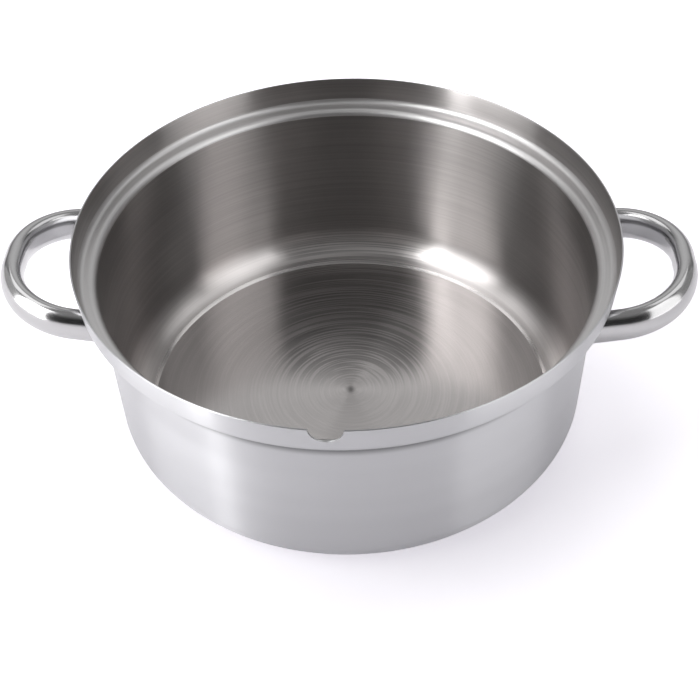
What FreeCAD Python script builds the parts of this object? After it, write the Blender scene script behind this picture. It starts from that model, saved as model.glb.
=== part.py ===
import FreeCAD, Part
import math
import os

# Open soup kettle pan in stainless sheet: a stepped rim with a pouring notch, and two oval tube handles.
# Millimetres. The origin is the middle of the base's underside, +Z is up, and the handles lie along X.

# Pan sheet and main sizes
rim_diameter = 320.0
height = 134.0
sheet = 1.0
edge_round = 0.3

# Stepped rim: a flared collar above the ledge that an inset pan sits on
collar_depth = 17.5
collar_flare = 1.6
ledge_width = 10.2
ledge_bend = 3.5

# Wall, bottom corner, and the shallow step down to the flat floor
wall_taper = 1.9
corner_bend = 20.0
corner_end_slope = 15.0
step_lead = 0.8
step_width = 2.2
step_drop = 1.3
step_bend = 1.2

# Half-round notch in the front of the collar, turned a little to the left
notch_radius = 9.2
notch_turn = 2.0

# Oval tube handles: a loop of two legs, two bends and a short straight grip, lifted outwards
tube_width = 13.8
tube_height = 21.0
tube_wall = 1.2
loop_bend = 42.0
grip_straight = 8.0
finger_gap = 32.4
handle_lift = 9.4
ledge_clearance = 3.1

# Fillet welds round the tube ends
weld_radius = 2.0

# Sizes that follow from the ones above
rim_radius = rim_diameter / 2
ledge_top = height - collar_depth
collar_inside = rim_radius - sheet - collar_flare
wall_inside = collar_inside - ledge_width
wall_slope = math.tan(math.radians(wall_taper))
leg_spacing = 2 * loop_bend + grip_straight

UP = FreeCAD.Vector(0, 0, 1)
SIDE = FreeCAD.Vector(0, 1, 0)
OUT = FreeCAD.Vector(1, 0, 0)
ORIGIN = FreeCAD.Vector(0, 0, 0)


def wall_radius(z):
    """Inner radius of the tapered wall at height z."""
    return wall_inside - wall_slope * (ledge_top - z)


def inner_line():
    """Corners of the pan's inner face as (radius, height), from the rim down to the axis."""
    end_slope = math.radians(corner_end_slope)
    turn = math.radians(90 - corner_end_slope - wall_taper)
    run = corner_bend * math.tan(turn / 2) + step_lead
    step_top = sheet + step_drop
    corner_z = step_top + run * math.sin(end_slope)
    corner_r = wall_radius(corner_z)
    step_r = corner_r - run * math.cos(end_slope)
    return [
        (rim_radius - sheet, height),
        (collar_inside, ledge_top),
        (wall_inside, ledge_top),
        (corner_r, corner_z),
        (step_r, step_top),
        (step_r - step_width, sheet),
        (0, sheet),
    ]


def direction(a, b):
    length = math.hypot(b[0] - a[0], b[1] - a[1])
    return ((b[0] - a[0]) / length, (b[1] - a[1]) / length)


def cross(a, b):
    return a[0] * b[1] - a[1] * b[0]


def outer_line(points):
    """The inner line moved out by the sheet's thickness."""
    steps = [direction(a, b) for a, b in zip(points, points[1:])]
    moved = []
    for point, before, after in zip(points, steps[:1] + steps, steps + steps[-1:]):
        shift = sheet / (1 + before[0] * after[0] + before[1] * after[1])
        radius = point[0] - shift * (before[1] + after[1])
        moved.append((radius, point[1] + shift * (before[0] + after[0])))
    return moved


def rounded_face(corners):
    """Face in the XZ plane from closed (point, radius) corners, with an arc wherever the radius isn't 0."""
    edges = []
    ends = []
    for i, (point, radius) in enumerate(corners):
        before = direction(corners[i - 1][0], point)
        after = direction(point, corners[(i + 1) % len(corners)][0])
        turn = math.atan2(abs(cross(before, after)), before[0] * after[0] + before[1] * after[1])
        trim = radius * math.tan(turn / 2)
        bulge = radius / math.cos(turn / 2) - radius
        inward = direction(before, after)
        start = FreeCAD.Vector(point[0] - before[0] * trim, 0, point[1] - before[1] * trim)
        middle = FreeCAD.Vector(point[0] + inward[0] * bulge, 0, point[1] + inward[1] * bulge)
        end = FreeCAD.Vector(point[0] + after[0] * trim, 0, point[1] + after[1] * trim)
        if radius > 0:
            edges.append(Part.Arc(start, middle, end).toShape())
        ends.append((start, end))
    for (_, leave), (arrive, _) in zip(ends, ends[1:] + ends[:1]):
        edges.append(Part.makeLine(leave, arrive))
    return Part.Face(Part.Wire(Part.__sortEdges__(edges)))


def pan_lines():
    """Inner and outer lines as (point, radius) corners. Each bend's radius is on its hollow side."""
    inner = inner_line()
    bends = [0, ledge_bend, ledge_bend, corner_bend, step_bend, step_bend, 0]
    lines = ([], [])
    for i, (point, moved) in enumerate(zip(inner, outer_line(inner))):
        near = bends[i]
        far = near + sheet if near else 0
        if near and cross(direction(inner[i - 1], point), direction(point, inner[i + 1])) > 0:
            near, far = far, near
        lines[0].append((point, near))
        lines[1].append((moved, far))
    return lines


def spun(corners):
    return rounded_face(corners).revolve(ORIGIN, UP, 360)


def pan_shell():
    """The pan as one spun sheet, with rounded rim edges and the notch cut through its collar."""
    inner, outer = pan_lines()
    rim = [(outer[0][0], edge_round), (inner[0][0], edge_round)]
    shell = spun(rim + inner[1:] + outer[:0:-1])
    turn = math.radians(notch_turn)
    outward = FreeCAD.Vector(-math.sin(turn), -math.cos(turn), 0)
    start = outward * wall_inside + UP * height
    return shell.cut(Part.makeCylinder(notch_radius, rim_radius, start, outward))


def pan_envelope():
    """Everything within the pan's outer face, for coping the handles against it."""
    outer = pan_lines()[1]
    return spun([(outer[0][0], 0)] + outer[1:] + [((0, outer[0][0][1]), 0)])


def oval(centre, across, width, tall):
    """Oval face, its width along the vector across and its height along Z."""
    curve = Part.Ellipse(centre + UP * (tall / 2), centre + across * (width / 2), centre)
    return Part.Face(Part.Wire(curve.toShape()))


def handle_root():
    """Where a leg's axis, halfway between front and rear, meets the wall's outer face."""
    tall = tube_height / 2 / math.cos(math.radians(handle_lift))
    z = ledge_top - sheet - ledge_bend - ledge_clearance - tall
    return FreeCAD.Vector(math.sqrt((wall_radius(z) + sheet) ** 2 - (leg_spacing / 2) ** 2), 0, z)


def loop(inset):
    """Solid loop along the handle's centre line, its oval smaller than the tube by inset all round."""
    root = handle_root()
    width = tube_width - 2 * inset
    tall = tube_height - 2 * inset
    reach = (rim_radius + finger_gap + tube_width / 2 - root.x) / math.cos(math.radians(handle_lift))
    straight = reach - loop_bend
    half = leg_spacing / 2
    grip_start = OUT * reach - SIDE * (grip_straight / 2)
    pieces = [oval(grip_start, OUT, width, tall).extrude(SIDE * grip_straight)]
    for side in (-1, 1):
        leg_end = OUT * straight + SIDE * side * half
        bend_centre = leg_end - SIDE * side * loop_bend
        section = oval(leg_end, SIDE, width, tall)
        pieces.append(section.extrude(OUT * -(straight + tube_width)))
        pieces.append(section.revolve(bend_centre, UP, -90 * side))
    whole = pieces[0].multiFuse(pieces[1:]).removeSplitter()
    whole.rotate(ORIGIN, SIDE, -handle_lift)
    whole.translate(root)
    return whole


def handle_and_welds():
    """The right handle's coped tube, and the fillet weld round each of its ends, front one first."""
    envelope = pan_envelope()
    solid = loop(0)
    tube = solid.cut(loop(tube_wall)).cut(envelope)
    joined = envelope.fuse(solid)
    seams = [edge for edge in joined.Edges if is_seam(edge, envelope, solid)]
    beads = joined.makeFillet(weld_radius, seams).cut(joined)
    welds = sorted(beads.Solids, key=lambda weld: weld.CenterOfMass.y)
    return tube, welds


def is_seam(edge, envelope, solid):
    """True for an edge that lies on both the pan's outer face and the handle's."""
    touch = 1e-4
    probes = 5
    for point in edge.discretize(probes):
        spot = Part.Vertex(point)
        for shape in (envelope, solid):
            if min(face.distToShape(spot)[0] for face in shape.Faces) > touch:
                return False
    return True


def turned(shape):
    """The same shape on the opposite side of the pan."""
    copy = shape.copy()
    copy.rotate(ORIGIN, UP, 180)
    return copy


tube, (front_weld, rear_weld) = handle_and_welds()
nodes = {
    "pan_shell": pan_shell(),
    "handle_right": tube,
    "handle_right_front_weld": front_weld,
    "handle_right_rear_weld": rear_weld,
    "handle_left": turned(tube),
    "handle_left_front_weld": turned(rear_weld),
    "handle_left_rear_weld": turned(front_weld),
}

os.makedirs("parts", exist_ok=True)
for name, shape in nodes.items():
    shape.exportStep("parts/" + name + ".step")
    box = shape.BoundBox
    print(name, len(shape.Solids), shape.isValid(), round(shape.Volume, 1),
          [round(v, 2) for v in (box.XMin, box.XMax, box.YMin, box.YMax, box.ZMin, box.ZMax)])
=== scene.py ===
import math

import bmesh
import bpy
from mathutils import Matrix, Vector


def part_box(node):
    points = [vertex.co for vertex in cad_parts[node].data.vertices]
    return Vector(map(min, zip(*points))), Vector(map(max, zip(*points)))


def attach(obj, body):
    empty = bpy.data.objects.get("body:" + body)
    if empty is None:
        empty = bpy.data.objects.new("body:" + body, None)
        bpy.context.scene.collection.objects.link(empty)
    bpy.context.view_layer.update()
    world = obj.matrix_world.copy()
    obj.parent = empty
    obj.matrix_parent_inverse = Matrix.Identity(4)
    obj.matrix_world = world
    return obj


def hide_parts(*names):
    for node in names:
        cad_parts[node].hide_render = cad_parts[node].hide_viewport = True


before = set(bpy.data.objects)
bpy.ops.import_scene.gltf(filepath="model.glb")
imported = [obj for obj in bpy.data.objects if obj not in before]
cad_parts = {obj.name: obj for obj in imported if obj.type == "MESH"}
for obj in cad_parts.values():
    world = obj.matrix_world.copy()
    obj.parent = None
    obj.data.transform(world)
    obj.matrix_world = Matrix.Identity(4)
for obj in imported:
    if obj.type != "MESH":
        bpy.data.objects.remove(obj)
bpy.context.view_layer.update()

# Open soup kettle pan: a spun steel pan with a stepped rim and a notch, and two polished tube handles.
# Metres. The pan stands on its base at the origin, +Z is up, -Y is the front, and the handles lie along X.
pan_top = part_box("pan_shell")[1]

# Pan sheet and stepped rim
rim_radius = pan_top.y
height = pan_top.z
sheet = 0.001
rim_round = 0.0003
collar_depth = 0.0175
collar_flare = 0.0016
ledge_width = 0.0102
ledge_bend = 0.0035
ledge_top = height - collar_depth

# Wall, bottom corner, and the shallow step down to the flat floor
wall_taper = math.radians(1.9)
corner_bend = 0.020
corner_end_slope = math.radians(15)
step_lead = 0.0008
step_width = 0.0022
step_drop = 0.0013
step_bend = 0.0012

# Half-round notch in the front of the collar
notch_radius = 0.0092
notch_turn = math.radians(2.0)

# Oval tube handles: two legs, two bends and a short straight grip, lifted outwards
tube_width = 0.0138
tube_height = 0.021
loop_bend = 0.042
grip_straight = 0.008
finger_gap = 0.0324
handle_lift = math.radians(9.4)
ledge_clearance = 0.0031

# Fineness of the meshes
spin_steps = 256
bend_cuts = 10
corner_cuts = 20
rim_cuts = 3
notch_sides = 96
tube_sides = 64
loop_steps = 32
merge_gap = 1e-6
smooth_angle = math.radians(35)


class Socket:
    """One output of a node. Arithmetic on it adds Math nodes to the same finish."""

    def __init__(self, finish, output):
        self.finish = finish
        self.output = output

    def calculate(self, operation, *values):
        return self.finish.node("ShaderNodeMath", {"operation": operation}, dict(enumerate(values)))

    def beside(self, name):
        """Another output of the same node."""
        return Socket(self.finish, self.output.node.outputs[name])

    def between(self, low, high):
        """Low where this output is 0, and high where it is 1."""
        return low + self * (high - low)

    def __add__(self, other):
        return self.calculate("ADD", self, other)

    def __sub__(self, other):
        return self.calculate("SUBTRACT", self, other)

    def __rsub__(self, other):
        return self.calculate("SUBTRACT", other, self)

    def __mul__(self, other):
        return self.calculate("MULTIPLY", self, other)

    def __truediv__(self, other):
        return self.calculate("DIVIDE", self, other)

    def __pow__(self, other):
        return self.calculate("POWER", self, other)

    def __abs__(self):
        return self.calculate("ABSOLUTE", self)

    __radd__ = __add__
    __rmul__ = __mul__


class Finish:
    """The node tree of a material or of the world, started empty."""

    def __init__(self, owner):
        owner.use_nodes = True
        self.owner = owner
        self.tree = owner.node_tree
        self.tree.nodes.clear()

    def node(self, kind, settings=None, inputs=None, output=0):
        """Adds a node, sets it, gives its sockets values or links, and returns one of its outputs."""
        made = self.tree.nodes.new(kind)
        for name, value in (settings or {}).items():
            setattr(made, name, value)
        for key, value in (inputs or {}).items():
            if isinstance(value, Socket):
                self.tree.links.new(value.output, made.inputs[key])
            else:
                made.inputs[key].default_value = value
        return Socket(self, made.outputs[output])

    def place(self):
        """The x, y and z of a point in the piece's own coordinates, or of a direction in the world."""
        kind = "Generated" if isinstance(self.owner, bpy.types.World) else "Object"
        spot = self.node("ShaderNodeTexCoord", output=kind)
        x = self.node("ShaderNodeSeparateXYZ", inputs={"Vector": spot}, output="X")
        return x, x.beside("Y"), x.beside("Z")

    def ramp(self, value, start, end, low=0.0, high=1.0):
        """A smooth change from low to high while the value goes from start to end."""
        return self.node("ShaderNodeMapRange", {"interpolation_type": "SMOOTHSTEP"}, {
            "Value": value, "From Min": start, "From Max": end, "To Min": low, "To Max": high,
        })

    def tint(self, colour, tone):
        """A colour made lighter or darker by a tone."""
        return self.node("ShaderNodeVectorMath", {"operation": "SCALE"}, {0: colour, "Scale": tone})

    def end(self, kind, shader):
        """Links the shader to a last node of the given kind, and returns the material or the world."""
        last = self.tree.nodes.new(kind)
        self.tree.links.new(shader.output, last.inputs["Surface"])
        return self.owner


def pick(kind, test):
    """In edit mode, selects only the vertices, edges or faces that pass the test."""
    shape = bmesh.from_edit_mesh(bpy.context.object.data)
    bpy.context.tool_settings.mesh_select_mode = (kind == "verts", kind == "edges", kind == "faces")
    bpy.ops.mesh.select_all(action="DESELECT")
    for part in getattr(shape, kind):
        part.select_set(test(part))
    shape.select_flush_mode()
    bmesh.update_edit_mesh(bpy.context.object.data)


def apply_modifier(piece, kind, **settings):
    """Adds a modifier to a piece, sets it and applies it."""
    bpy.ops.object.select_all(action="DESELECT")
    bpy.context.view_layer.objects.active = piece
    piece.select_set(True)
    modifier = piece.modifiers.new(kind.lower(), kind)
    for name, value in settings.items():
        setattr(modifier, name, value)
    bpy.ops.object.modifier_apply(modifier=modifier.name)


def extrude(step):
    """Extrudes what is selected by a step."""
    bpy.ops.mesh.extrude_region_move(TRANSFORM_OT_translate={"value": step})


def close_seams():
    """Merges points that touch, turns all faces outwards, and leaves edit mode."""
    bpy.ops.mesh.select_all(action="SELECT")
    bpy.ops.mesh.remove_doubles(threshold=merge_gap)
    bpy.ops.mesh.normals_make_consistent(inside=False)
    bpy.ops.object.mode_set(mode="OBJECT")


def draw_line(points):
    """Draws points (radius, height) as a wire in the XZ plane, and leaves it in edit mode."""
    bpy.ops.object.select_all(action="DESELECT")
    bpy.ops.mesh.primitive_plane_add(size=sheet, location=(0, 0, 0))
    bpy.ops.object.mode_set(mode="EDIT")
    bpy.ops.mesh.merge(type="CENTER")
    here = Vector((0, 0, 0))
    for i, (radius, up) in enumerate(points):
        there = Vector((radius, 0, up))
        if i == 0:
            bpy.ops.transform.translate(value=there)
        else:
            extrude(there - here)
        here = there


def round_corner(before, corner, after, bend, cuts):
    """Rounds one corner of the drawn wire to an arc of the given radius."""
    here = Vector((corner[0], 0, corner[1]))
    back = Vector((before[0], 0, before[1])) - here
    onward = Vector((after[0], 0, after[1])) - here
    turn = math.pi - back.angle(onward)
    pick("verts", lambda v: (v.co - here).length < merge_gap)
    bpy.ops.mesh.bevel(
        offset=bend * math.tan(turn / 2), segments=cuts, profile=0.5, affect="VERTICES",
    )


def pan_inner_line():
    """Corners of the pan's inner face as (radius, height), from the rim down to the axis."""
    collar_inside = rim_radius - sheet - collar_flare
    wall_inside = collar_inside - ledge_width
    turn = math.pi / 2 - corner_end_slope - wall_taper
    run = corner_bend * math.tan(turn / 2) + step_lead
    step_top = sheet + step_drop
    corner_z = step_top + run * math.sin(corner_end_slope)
    corner_r = wall_inside - math.tan(wall_taper) * (ledge_top - corner_z)
    step_r = corner_r - run * math.cos(corner_end_slope)
    return [
        (rim_radius - sheet, height),
        (collar_inside, ledge_top),
        (wall_inside, ledge_top),
        (corner_r, corner_z),
        (step_r, step_top),
        (step_r - step_width, sheet),
        (0, sheet),
    ]


def is_rim_edge(edge):
    """True for an edge of the rim's top that runs round the pan, not across the sheet."""
    a, b = edge.verts
    at_top = min(a.co.z, b.co.z) > height - sheet / 4
    level = abs(a.co.z - b.co.z) < merge_gap
    return at_top and level and abs(a.co.xy.length - b.co.xy.length) < merge_gap


def is_pressed(place):
    """True on the ledge with its two bends."""
    return ledge_top - ledge_bend < place.z < ledge_top + ledge_bend + sheet


def notch_cutter(finish):
    """A round bar through the front of the collar, as wide as the notch."""
    outward = Vector((-math.sin(notch_turn), -math.cos(notch_turn), 0))
    bpy.ops.object.select_all(action="DESELECT")
    bpy.ops.mesh.primitive_cylinder_add(
        vertices=notch_sides,
        radius=notch_radius,
        depth=rim_radius / 2,
        location=outward * rim_radius + Vector((0, 0, height)),
        rotation=outward.to_track_quat("Z", "Y").to_euler(),
    )
    cutter = bpy.context.object
    cutter.data.materials.append(finish)
    return cutter


def make_pan(inside, outside, pressed, cut):
    """The pan as one spun sheet, with a finish for each face and the notch cut through its collar."""
    line = pan_inner_line()
    draw_line(line)
    bends = [ledge_bend, ledge_bend + sheet, corner_bend, step_bend + sheet, step_bend]
    cuts = [bend_cuts, bend_cuts, corner_cuts, bend_cuts, bend_cuts]
    for before, corner, after, bend, count in zip(line, line[1:], line[2:], bends, cuts):
        round_corner(before, corner, after, bend, count)
    bpy.ops.mesh.select_all(action="SELECT")
    bpy.ops.mesh.spin(steps=spin_steps, angle=2 * math.pi, center=(0, 0, 0), axis=(0, 0, 1))
    close_seams()
    pan = bpy.context.object
    pan.name = "pan"
    pan.data.materials.append(outside)
    pan.data.materials.append(inside)
    inside_slot = 1
    apply_modifier(
        pan, "SOLIDIFY",
        thickness=sheet, offset=1, use_even_offset=True, material_offset=inside_slot,
    )
    bpy.ops.object.mode_set(mode="EDIT")
    pick("edges", is_rim_edge)
    bpy.ops.mesh.bevel(offset=rim_round, segments=rim_cuts, affect="EDGES")
    bpy.ops.object.mode_set(mode="OBJECT")
    cutter = notch_cutter(cut)
    apply_modifier(pan, "BOOLEAN", operation="DIFFERENCE", solver="EXACT", object=cutter)
    bpy.data.objects.remove(cutter)
    pan.data.materials.append(pressed)
    pressed_slot = len(pan.data.materials) - 1
    for face in pan.data.polygons:
        if face.material_index == inside_slot and is_pressed(face.center):
            face.material_index = pressed_slot
    bpy.ops.object.shade_smooth_by_angle(angle=smooth_angle)
    return pan


def wall_outside(z):
    """Outer radius of the tapered wall at height z."""
    line = pan_inner_line()
    low, high = line[3], line[2]
    share = (z - low[1]) / (high[1] - low[1])
    return low[0] + (high[0] - low[0]) * share + sheet / math.cos(wall_taper)


def wall_block():
    """All that the wall encloses beside the handles, as a solid cone for coping the tube ends."""
    high = ledge_top - sheet
    low = high / 2
    bpy.ops.object.select_all(action="DESELECT")
    bpy.ops.mesh.primitive_cone_add(
        vertices=spin_steps,
        radius1=wall_outside(low),
        radius2=wall_outside(high),
        depth=high - low,
        location=(0, 0, (low + high) / 2),
    )
    return bpy.context.object


def make_handle(name, turn, finish):
    """A bent oval tube: leg, bend, grip, bend and leg drawn flat, then lifted, placed and coped."""
    half = loop_bend + grip_straight / 2
    half_height = tube_height / 2 / math.cos(handle_lift)
    z = ledge_top - sheet - ledge_bend - ledge_clearance - half_height
    root = Vector((math.sqrt(wall_outside(z) ** 2 - half ** 2), 0, z))
    reach = (rim_radius + finger_gap + tube_width / 2 - root.x) / math.cos(handle_lift)
    straight = reach - loop_bend
    coped_off = tube_width
    leg = coped_off + straight
    bpy.ops.object.select_all(action="DESELECT")
    bpy.ops.mesh.primitive_circle_add(
        vertices=tube_sides, radius=1, fill_type="NGON", location=(0, 0, 0),
    )
    bpy.ops.object.mode_set(mode="EDIT")
    bpy.ops.transform.resize(value=(tube_height / 2, tube_width / 2, 1))
    bpy.ops.transform.rotate(value=math.pi / 2, orient_axis="Y", center_override=(0, 0, 0))
    bpy.ops.transform.translate(value=(-coped_off, -half, 0))
    bend = {"steps": loop_steps, "angle": -math.pi / 2, "axis": (0, 0, 1)}
    extrude((leg, 0, 0))
    bpy.ops.mesh.spin(center=(straight, -grip_straight / 2, 0), **bend)
    extrude((0, grip_straight, 0))
    bpy.ops.mesh.spin(center=(straight, grip_straight / 2, 0), **bend)
    extrude((-leg, 0, 0))
    close_seams()
    handle = bpy.context.object
    handle.name = name
    handle.data.materials.append(finish)
    lifted = Matrix.Translation(root) @ Matrix.Rotation(-handle_lift, 4, "Y")
    handle.matrix_world = Matrix.Rotation(turn, 4, "Z") @ lifted
    bpy.ops.object.transform_apply(location=True, rotation=True, scale=True)
    block = wall_block()
    apply_modifier(handle, "BOOLEAN", operation="DIFFERENCE", solver="EXACT", object=block)
    bpy.data.objects.remove(block)
    bpy.ops.object.shade_smooth_by_angle(angle=smooth_angle)
    return handle


# Steel colours
warm_steel = (0.525, 0.504, 0.498)
bright_steel = (0.65, 0.64, 0.64)
plain_steel = (0.665, 0.665, 0.68)
tube_steel = (0.58, 0.575, 0.58)
weld_steel = (0.45, 0.445, 0.44)
cut_steel = (0.2, 0.195, 0.19)

# How far brushing stretches a highlight. A quarter turn sets the stretch across the brush lines.
full_brush = 1.0
ledge_brush = 0.4
no_brush = 0.0
brush_turn = 0.25

# Brush lines as (width of a line, breaks in it). More breaks make shorter lines.
fine_lines = (0.0013, 1.5)
broad_lines = (0.005, 1.2)
arc_lines = (0.0013, 0.9)
ledge_lines = (0.0012, 2.0)
outside_lines = (0.014, 0.8)
noise_middle = 0.5

# Where the inside's finish changes, from and to
wall_heights = (0.002, 0.03)
polish_heights = (0.0012, 0.0026)
corner_start = (0.0022, 0.006)
corner_stop = (0.012, 0.022)
collar_heights = (0.112, 0.122)
worn_back = (0.0, 0.03)
worn_sides = (0.03, 0.06)
# Painted reflection: a dark spot at the centre, where the circular brushing's highlights meet.
painted_spot_radius = 0.0045

# The inside's roughness and tones, as (on the floor, on the wall)
inside_polish = (0.165, 0.29)
inside_tone = (1.24, 0.85)
fine_tone = (0.04, 0.20)
broad_tone = (0.11, 0.06)
broad_polish = (0.04, 0.01)
arc_tone = (0.04, 0.0)

# The rest of the inside
line_base = 0.9
arc_levels = (0.4, 0.65)
arc_middle = 0.45
# The worn arcs are real scratches in the relief, and their lighter tone is a painted glint.
painted_glint_tone = 0.4
worn_relief = 0.000001
# Painted highlight: the corner band's colour is made brighter to strengthen its highlight.
painted_corner_highlight = 0.2
collar_gain = 0.25
painted_spot_tone = 0.35

# Ledge and outside, with ranges as (low, high)
ledge_tone = (0.92, 1.08)
ledge_polish = (0.36, 0.42)
ledge_relief = 0.00001
outside_tone = (0.96, 1.03)
outside_polish = (0.28, 0.31)
# Painted shade: the outside's colour is darkened in the crease under the collar.
crease_start = (ledge_top - 0.016, ledge_top - 0.010)
crease_stop = (ledge_top, ledge_top + 0.0022)
painted_crease_shade = 0.6


def from_axis(x, y):
    """Distance from the pan's axis."""
    return (x * x + y * y) ** 0.5


def brush_lines(finish, width, breaks):
    """Noise drawn out round the pan's axis, in lines of a given width."""
    x, y, z = finish.place()
    radius = from_axis(x, y)
    spot = finish.node("ShaderNodeCombineXYZ", inputs={
        "X": x / radius * breaks,
        "Y": y / radius * breaks,
        "Z": (radius + z) / width,
    })
    return finish.node("ShaderNodeTexNoise", inputs={"Vector": spot, "Scale": 1.0, "Detail": 0.0})


def steel(finish, colour, tone, roughness, brushed, relief=None, depth=0.0):
    """Bare steel: a colour times a tone, brushed or not, with fine relief where it is given."""
    inputs = {
        "Base Color": finish.tint(colour, tone),
        "Metallic": 1.0,
        "Roughness": roughness,
        "Anisotropic": brushed,
        "Anisotropic Rotation": brush_turn,
    }
    if relief is not None:
        inputs["Normal"] = finish.node("ShaderNodeBump", inputs={"Distance": depth, "Height": relief})
    shader = finish.node("ShaderNodeBsdfPrincipled", inputs=inputs)
    return finish.end("ShaderNodeOutputMaterial", shader)


def brushed_inside():
    """Satin brushed in circles: smoother on the floor, with worn scratch arcs that carry painted glints, a
    painted highlight in the corner and a painted dark spot of reflection at the centre.
    """
    finish = Finish(bpy.data.materials.new("brushed inside"))
    fine = brush_lines(finish, *fine_lines) - noise_middle
    broad = brush_lines(finish, *broad_lines) - noise_middle
    arcs = finish.ramp(brush_lines(finish, *arc_lines), *arc_levels)
    x, y, z = finish.place()
    rise = finish.ramp(z, *wall_heights)
    corner = finish.ramp(z, *corner_start) * finish.ramp(z, *corner_stop, 1, 0)
    collar = finish.ramp(z, *collar_heights)
    worn_with_glints = finish.ramp(y, *worn_back) * finish.ramp(abs(x), *worn_sides, 1, 0) * (1 - rise)
    lines = line_base + broad * rise.between(*broad_tone) + fine * rise.between(*fine_tone)
    # The worn arcs' scratches are real relief, and the lighter tone added on them is a painted glint.
    lines = lines + arcs * rise.between(*arc_tone) + (arcs - arc_middle) * worn_with_glints * painted_glint_tone
    # The corner's brighter colour here is a painted highlight.
    gain = 1 + corner * painted_corner_highlight + collar * collar_gain
    # A painted dark spot at the centre stands in for the brushing's reflections meeting there.
    painted_spot = finish.ramp(from_axis(x, y), 0, painted_spot_radius, painted_spot_tone, 1)
    tone = lines * rise.between(*inside_tone) * gain * painted_spot
    roughness = finish.ramp(z, *polish_heights, *inside_polish) + broad * rise.between(*broad_polish)
    return steel(finish, warm_steel, tone, roughness, full_brush, arcs * worn_with_glints, worn_relief)


def pressed_bends():
    """The ledge with its two bends, duller and brighter than the brushed faces beside it."""
    finish = Finish(bpy.data.materials.new("pressed bends"))
    fine = brush_lines(finish, *ledge_lines)
    tone = fine.between(*ledge_tone)
    roughness = fine.between(*ledge_polish)
    return steel(finish, bright_steel, tone, roughness, ledge_brush, fine, ledge_relief)


def polished_outside():
    """Polished round the pan, with a dark line of painted shade in the crease under the collar."""
    finish = Finish(bpy.data.materials.new("polished outside"))
    broad = brush_lines(finish, *outside_lines)
    z = finish.place()[2]
    crease = finish.ramp(z, *crease_start) * finish.ramp(z, *crease_stop, 1, 0)
    # Painted shade darkens the colour in the crease under the collar.
    tone = broad.between(*outside_tone) * (1 - crease * painted_crease_shade)
    return steel(finish, plain_steel, tone, broad.between(*outside_polish), full_brush)


def even_steel(name, colour, grain, tone, polish, depth):
    """Steel with an even grain and no direction. The tone and the polish are ranges (low, high)."""
    finish = Finish(bpy.data.materials.new(name))
    spot = finish.node("ShaderNodeTexCoord", output="Object")
    noise = finish.node("ShaderNodeTexNoise", inputs={"Vector": spot, "Scale": grain, "Detail": 3.0})
    return steel(finish, colour, noise.between(*tone), noise.between(*polish), no_brush, noise, depth)


inside = brushed_inside()
outside = polished_outside()
pressed = pressed_bends()
cut = even_steel(
    "cut edge", cut_steel, grain=900.0, tone=(0.85, 1.15), polish=(0.4, 0.5), depth=0.00001,
)
dressed = even_steel(
    "dressed weld", weld_steel, grain=400.0, tone=(0.85, 1.15), polish=(0.29, 0.39), depth=0.00001,
)
polished = even_steel(
    "polished tube", tube_steel, grain=60.0, tone=(0.95, 1.05), polish=(0.14, 0.20), depth=0.000004,
)
pan = make_pan(inside, outside, pressed, cut)
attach(pan, "root")
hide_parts("pan_shell")
for side, turn in (("right", 0), ("left", math.pi)):
    handle = make_handle("handle_tube_" + side, turn, polished)
    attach(handle, "root")
    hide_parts("handle_" + side)
for name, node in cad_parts.items():
    if name.endswith("weld"):
        node.data.materials.clear()
        node.data.materials.append(dressed)

# Floor
floor_size = 60
floor_drop = 0.0003
floor_paint = (0.90, 0.89, 0.91, 1)
floor_tint = (1.0, 0.97, 1.04)
floor_glow = 0.53
mirrored_glow = 0.38

# Room. Spreads and rises are the y and z of a direction, from and to.
room_grey = 0.03
backdrop_grey = 0.60
backdrop_spread = (0.45, 0.8)
backdrop_rise = (0.1, 0.5)
backdrop_foot = 0.4
ceiling_grey = 0.27
ceiling_rise = (0.45, 0.95)

# Camera, worked out from the pan's circles and outline in the photo
camera_place = (0.03057, -0.62282, 0.63516)
camera_look = (-0.03498, 0.72045, -0.69262)
camera_roll = math.radians(-1.816)
camera_lens = 70.404
camera_sensor = 36
camera_nearest = 0.01


def make_floor():
    """A pale painted floor, just below the pan. It glows in full to the camera, and less in mirrors."""
    bpy.ops.object.select_all(action="DESELECT")
    bpy.ops.mesh.primitive_plane_add(size=floor_size, location=(0, 0, -floor_drop))
    floor = bpy.context.object
    floor.name = "floor"
    finish = Finish(bpy.data.materials.new("pale floor"))
    path = finish.node("ShaderNodeLightPath", output="Is Camera Ray")
    mirrored = path.beside("Is Glossy Ray") + path.beside("Is Transmission Ray")
    light = (path + mirrored * mirrored_glow) * floor_glow
    paint = finish.node("ShaderNodeBsdfDiffuse", inputs={"Color": floor_paint})
    glow = finish.node("ShaderNodeEmission", inputs={"Color": finish.tint(floor_tint, light)})
    shader = finish.node("ShaderNodeAddShader", inputs={0: paint, 1: glow})
    floor.data.materials.append(finish.end("ShaderNodeOutputMaterial", shader))


def make_world():
    """A dark studio with a pale backdrop behind the pan and a grey ceiling."""
    world = bpy.data.worlds.new("studio")
    bpy.context.scene.world = world
    finish = Finish(world)
    y, z = finish.place()[1:]
    backdrop = finish.ramp(y, *backdrop_spread, 0, backdrop_grey)
    backdrop = backdrop * finish.ramp(z, *backdrop_rise, backdrop_foot, 1)
    grey = backdrop + finish.ramp(z, *ceiling_rise, room_grey, ceiling_grey)
    shader = finish.node("ShaderNodeBackground", inputs={"Color": finish.tint((1, 1, 1), grey)})
    finish.end("ShaderNodeOutputWorld", shader)


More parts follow.
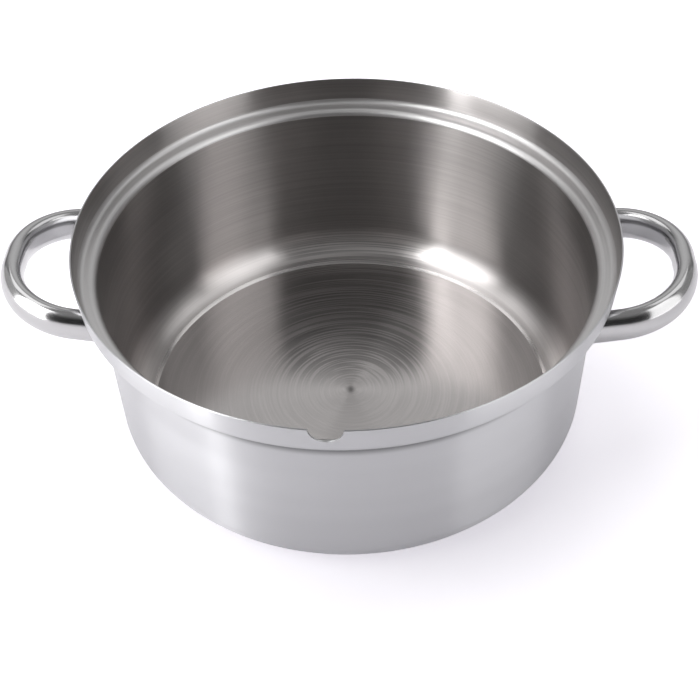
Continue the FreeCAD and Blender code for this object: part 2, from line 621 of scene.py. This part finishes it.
def lamp(name, away, distance, width, tall, radiance, on_floor=False):
    """A soft box in a direction away from the pan, facing it. It lights the floor or shows in steel."""
    away = Vector(away).normalized()
    light = bpy.data.lights.new(name, "AREA")
    light.shape = "RECTANGLE"
    light.size = width
    light.size_y = tall
    light.energy = radiance * width * tall * math.pi
    stand = bpy.data.objects.new(name, light)
    bpy.context.scene.collection.objects.link(stand)
    stand.location = away * distance
    stand.rotation_euler = away.to_track_quat("Z", "Y").to_euler()
    stand.visible_diffuse = on_floor
    stand.visible_glossy = not on_floor
    return stand


def upright_box(name, left, right, distance, tall, radiance, on_floor=False):
    """A soft box standing on the floor between two azimuths: 0 is in front, and right is positive."""
    middle = math.radians(left + right) / 2
    width = 2 * distance * math.tan(math.radians(right - left) / 2)
    away = (math.sin(middle), -math.cos(middle), 0)
    stand = lamp(name, away, distance, width, tall, radiance, on_floor)
    stand.location.z = tall / 2


def make_camera():
    """The photo's camera."""
    camera = bpy.data.cameras.new("camera")
    camera.sensor_width = camera_sensor
    camera.lens = camera_lens
    camera.clip_start = camera_nearest
    stand = bpy.data.objects.new("camera", camera)
    bpy.context.scene.collection.objects.link(stand)
    turn = Vector(camera_look).to_track_quat("-Z", "Y").to_matrix().to_4x4()
    roll = Matrix.Rotation(camera_roll, 4, "Z")
    stand.matrix_world = Matrix.Translation(camera_place) @ turn @ roll
    bpy.context.scene.camera = stand


make_floor()
make_world()
upright_box("left box", -85, -45, distance=1.3, tall=2.3, radiance=2.9)
upright_box("left side", -122, -85, distance=1.35, tall=1.2, radiance=0.45)
upright_box("left edge", -53, -44, distance=1.25, tall=2.3, radiance=3.6)
upright_box("right box", 43, 84, distance=1.3, tall=2.3, radiance=1.55)
upright_box("right side", 84, 122, distance=1.35, tall=1.2, radiance=0.28)
lamp("left lean", (-0.75, -0.35, 1), distance=1.6, width=0.8, tall=0.8, radiance=1.4)
lamp("left back", (-0.46, 0.265, 0.848), distance=1.6, width=0.75, tall=0.9, radiance=1.2)
lamp("right back", (0.46, 0.265, 0.848), distance=1.6, width=0.75, tall=0.9, radiance=0.9)
upright_box("left fill", -96, -45, distance=1.3, tall=2.3, radiance=2.1, on_floor=True)
lamp("overhead", (-0.12, 0.35, 1), distance=1.6, width=1.6, tall=1.6, radiance=2.3, on_floor=True)
make_camera()
bpy.context.scene.view_settings.view_transform = "Standard"
